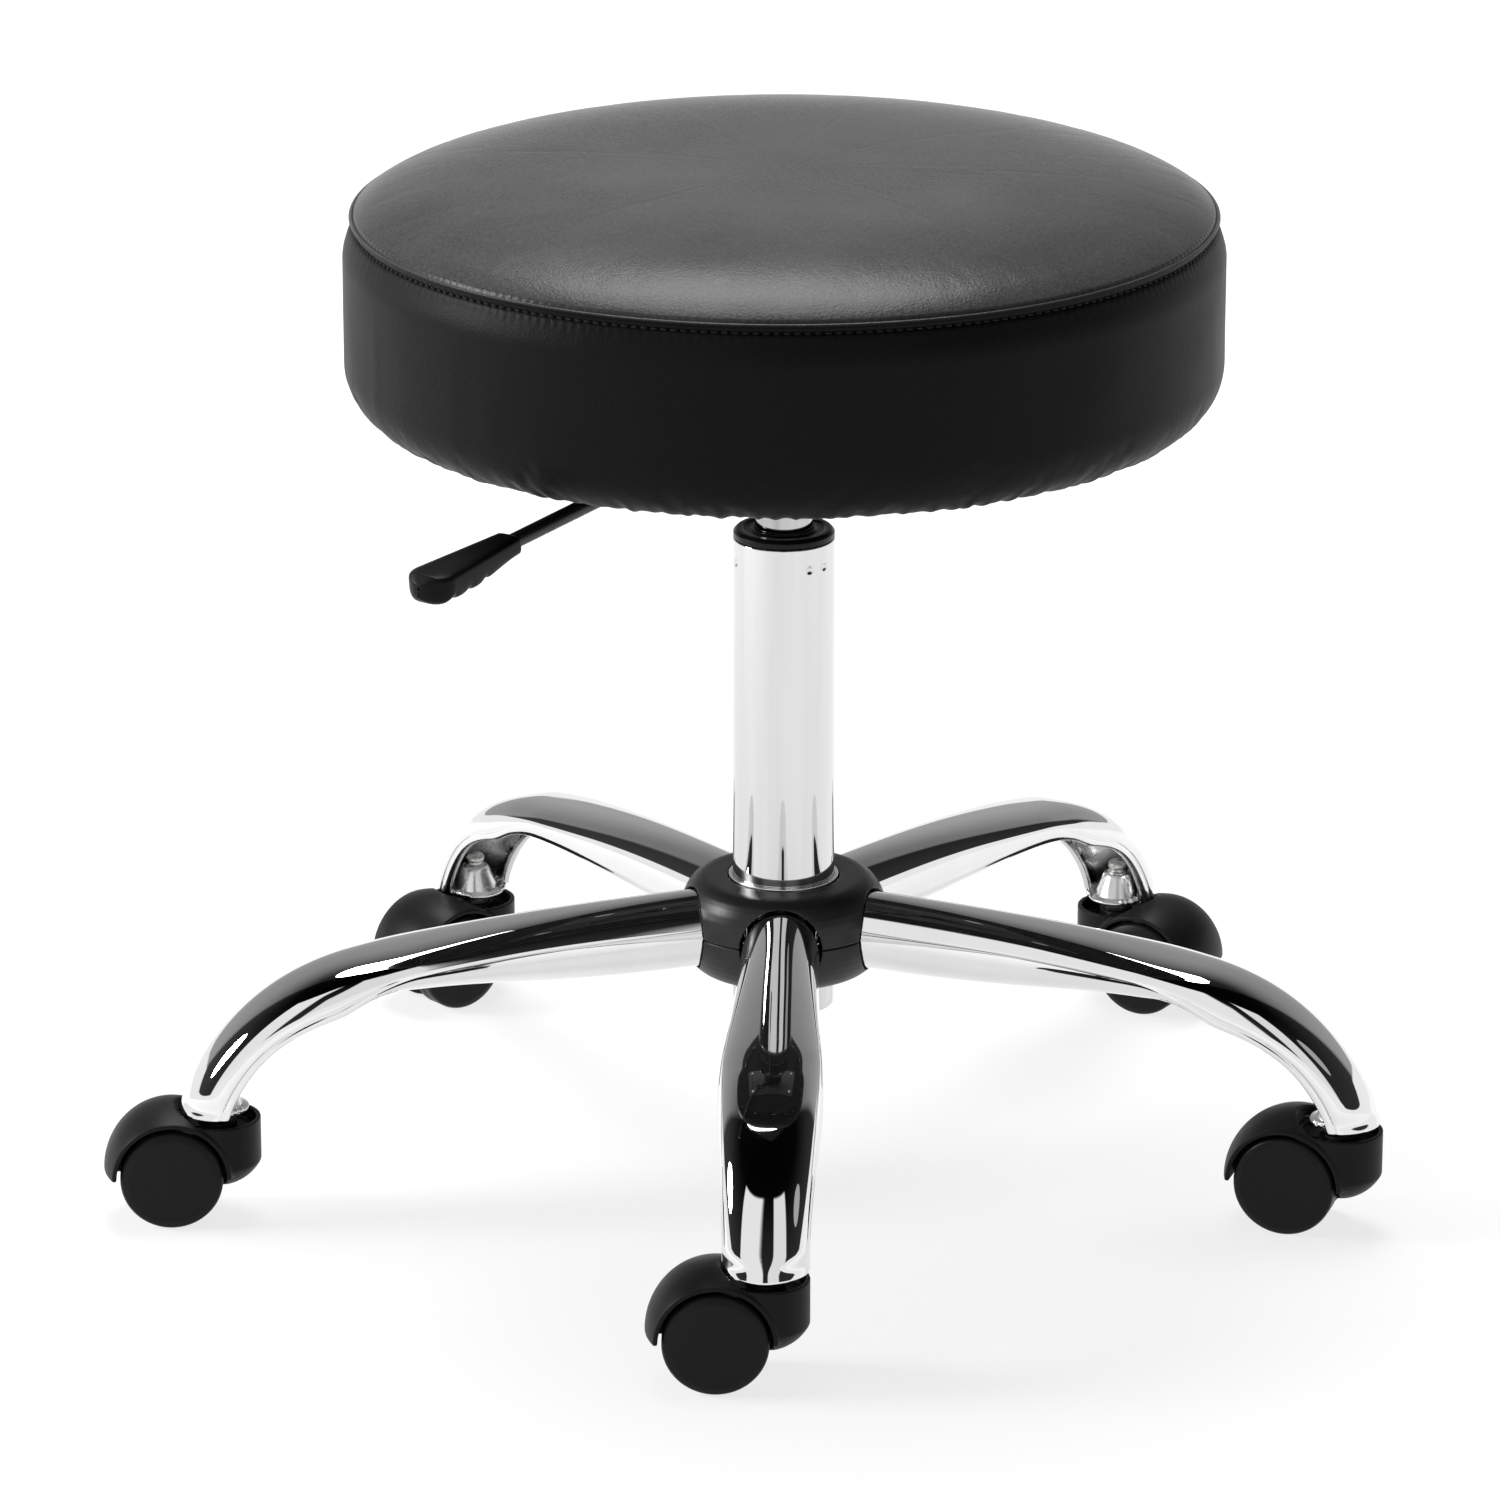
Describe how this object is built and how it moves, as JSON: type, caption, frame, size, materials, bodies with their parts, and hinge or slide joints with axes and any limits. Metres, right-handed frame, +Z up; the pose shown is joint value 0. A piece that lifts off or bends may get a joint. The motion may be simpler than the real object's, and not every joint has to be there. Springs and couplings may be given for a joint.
{
  "type": "swivel stool",
  "caption": "Height-adjustable swivel stool: round padded seat on a gas lift over a steel-arm base with hooded twin-wheel casters, released by a lever under the seat.",
  "frame": {"origin": "on the column axis at floor level, with the seat at its lowest height", "axes": "+Z up along the column; the front arm points towards -Y, turned 1.6 degrees; +X to the right seen from the front"},
  "size_m": [0.6216, 0.5668, 0.506],
  "materials": {
    "arm_chrome": "bright chrome plate",
    "column_chrome": "bright chrome plate",
    "socket_chrome": "chrome plate over weld, a little rough",
    "raw_steel": "zinc-plated steel",
    "black_steel": "black powder coat",
    "hub_plastic": "satin moulded black",
    "bush_plastic": "satin moulded black",
    "grip_plastic": "satin moulded black",
    "caster_plastic": "matte moulded black nylon",
    "wheel_plastic": "matte moulded black nylon",
    "buffer_rubber": "matte",
    "board_wood": "bare plywood",
    "foam": "open-cell foam",
    "seat_vinyl": "soft fine-grained vinyl, low sheen",
    "dust_fabric": "non-woven"
  },
  "bodies": {
    "base": {"arm_1": "arm_chrome", "arm_2": "arm_chrome", "arm_3": "arm_chrome", "arm_4": "arm_chrome", "arm_5": "arm_chrome", "hub_sleeve": "column_chrome", "hub_cover_upper": "hub_plastic", "hub_cover_lower": "hub_plastic", "column_tube": "column_chrome", "column_bush": "bush_plastic", "column_foot": "raw_steel", "bearing_race_lower": "raw_steel", "stem_sockets": "socket_chrome", "caster_stems": "raw_steel"},
    "rod": {"piston_rod": "raw_steel", "piston": "raw_steel", "bearing_race_upper": "raw_steel", "bearing_balls": "raw_steel", "rod_buffer": "buffer_rubber", "rod_clip": "raw_steel"},
    "seat": {"gas_cylinder": "column_chrome", "seat_plate": "black_steel", "taper_socket": "black_steel", "lever_bracket": "black_steel", "lever_pin": "raw_steel", "plate_screws": "raw_steel", "tee_nuts": "raw_steel", "seat_board": "board_wood", "seat_foam": "foam", "seat_top_cover": "seat_vinyl", "seat_side_cover": "seat_vinyl", "dust_cover": "dust_fabric", "cover_staples": "raw_steel"},
    "lever": {"lever_rod": "black_steel", "lever_sleeve": "bush_plastic", "lever_grip": "grip_plastic"},
    "pin": {"release_pin": "raw_steel"},
    "caster_1": {"caster_housing_1": "caster_plastic", "caster_axle_1": "raw_steel"},
    "wheel_l_1": {"wheel_left_1": "wheel_plastic"},
    "wheel_r_1": {"wheel_right_1": "wheel_plastic"},
    "caster_2": {"caster_housing_2": "caster_plastic", "caster_axle_2": "raw_steel"},
    "wheel_l_2": {"wheel_left_2": "wheel_plastic"},
    "wheel_r_2": {"wheel_right_2": "wheel_plastic"},
    "caster_3": {"caster_housing_3": "caster_plastic", "caster_axle_3": "raw_steel"},
    "wheel_l_3": {"wheel_left_3": "wheel_plastic"},
    "wheel_r_3": {"wheel_right_3": "wheel_plastic"},
    "caster_4": {"caster_housing_4": "caster_plastic", "caster_axle_4": "raw_steel"},
    "wheel_l_4": {"wheel_left_4": "wheel_plastic"},
    "wheel_r_4": {"wheel_right_4": "wheel_plastic"},
    "caster_5": {"caster_housing_5": "caster_plastic", "caster_axle_5": "raw_steel"},
    "wheel_l_5": {"wheel_left_5": "wheel_plastic"},
    "wheel_r_5": {"wheel_right_5": "wheel_plastic"}
  },
  "joints": [
    {"name": "seat_swivel", "type": "hinge", "parent": "base", "child": "rod", "pos_m": [0, 0, 0.09], "axis": [0, 0, 1], "continuous": true},
    {"name": "height_adjust", "type": "slide", "parent": "rod", "child": "seat", "axis": [0, 0, 1], "range_m": [0, 0.15]},
    {"name": "lever_lift", "type": "hinge", "parent": "seat", "child": "lever", "pos_m": [-0.03454, -0.04534, 0.379], "axis": [-0.7955, 0.606, 0], "range_deg": [0, 3.5], "stiffness_Nm_per_rad": 2, "springref_deg": -3.44},
    {"name": "valve_press", "type": "slide", "parent": "seat", "child": "pin", "axis": [0, 0, -1], "range_m": [0, 0.0036]},
    {"name": "caster_swivel_1", "type": "hinge", "parent": "base", "child": "caster_1", "pos_m": [-0.008, -0.28649, 0.05], "axis": [0, 0, 1], "continuous": true},
    {"name": "wheel_roll_l_1", "type": "hinge", "parent": "caster_1", "child": "wheel_l_1", "pos_m": [-0.031, -0.28649, 0.025], "axis": [0, -1, 0], "continuous": true},
    {"name": "wheel_roll_r_1", "type": "hinge", "parent": "caster_1", "child": "wheel_r_1", "pos_m": [-0.031, -0.28649, 0.025], "axis": [0, -1, 0], "continuous": true},
    {"name": "caster_swivel_2", "type": "hinge", "parent": "base", "child": "caster_2", "pos_m": [0.26999, -0.09614, 0.05], "axis": [0, 0, 1], "continuous": true},
    {"name": "wheel_roll_l_2", "type": "hinge", "parent": "caster_2", "child": "wheel_l_2", "pos_m": [0.24812, -0.08903, 0.025], "axis": [-0.309, -0.9511, 0], "continuous": true},
    {"name": "wheel_roll_r_2", "type": "hinge", "parent": "caster_2", "child": "wheel_r_2", "pos_m": [0.24812, -0.08903, 0.025], "axis": [-0.309, -0.9511, 0], "continuous": true},
    {"name": "caster_swivel_3", "type": "hinge", "parent": "base", "child": "caster_3", "pos_m": [0.17487, 0.22707, 0.05], "axis": [0, 0, 1], "continuous": true},
    {"name": "wheel_roll_l_3", "type": "hinge", "parent": "caster_3", "child": "wheel_l_3", "pos_m": [0.19458, 0.21522, 0.025], "axis": [0.515, 0.8572, 0], "continuous": true},
    {"name": "wheel_roll_r_3", "type": "hinge", "parent": "caster_3", "child": "wheel_r_3", "pos_m": [0.19458, 0.21522, 0.025], "axis": [0.515, 0.8572, 0], "continuous": true},
    {"name": "caster_swivel_4", "type": "hinge", "parent": "base", "child": "caster_4", "pos_m": [-0.16192, 0.23648, 0.05], "axis": [0, 0, 1], "continuous": true},
    {"name": "wheel_roll_l_4", "type": "hinge", "parent": "caster_4", "child": "wheel_l_4", "pos_m": [-0.17954, 0.22169, 0.025], "axis": [0.6428, -0.766, 0], "continuous": true},
    {"name": "wheel_roll_r_4", "type": "hinge", "parent": "caster_4", "child": "wheel_r_4", "pos_m": [-0.17954, 0.22169, 0.025], "axis": [0.6428, -0.766, 0], "continuous": true},
    {"name": "caster_swivel_5", "type": "hinge", "parent": "base", "child": "caster_5", "pos_m": [-0.27494, -0.08092, 0.05], "axis": [0, 0, 1], "continuous": true},
    {"name": "wheel_roll_l_5", "type": "hinge", "parent": "caster_5", "child": "wheel_l_5", "pos_m": [-0.29788, -0.08252, 0.025], "axis": [0.0698, -0.9976, 0], "continuous": true},
    {"name": "wheel_roll_r_5", "type": "hinge", "parent": "caster_5", "child": "wheel_r_5", "pos_m": [-0.29788, -0.08252, 0.025], "axis": [0.0698, -0.9976, 0], "continuous": true}
  ],
  "couplings": [
    {"joint": "valve_press", "follows": "lever_lift", "m_per_rad": 0.057}
  ]
}
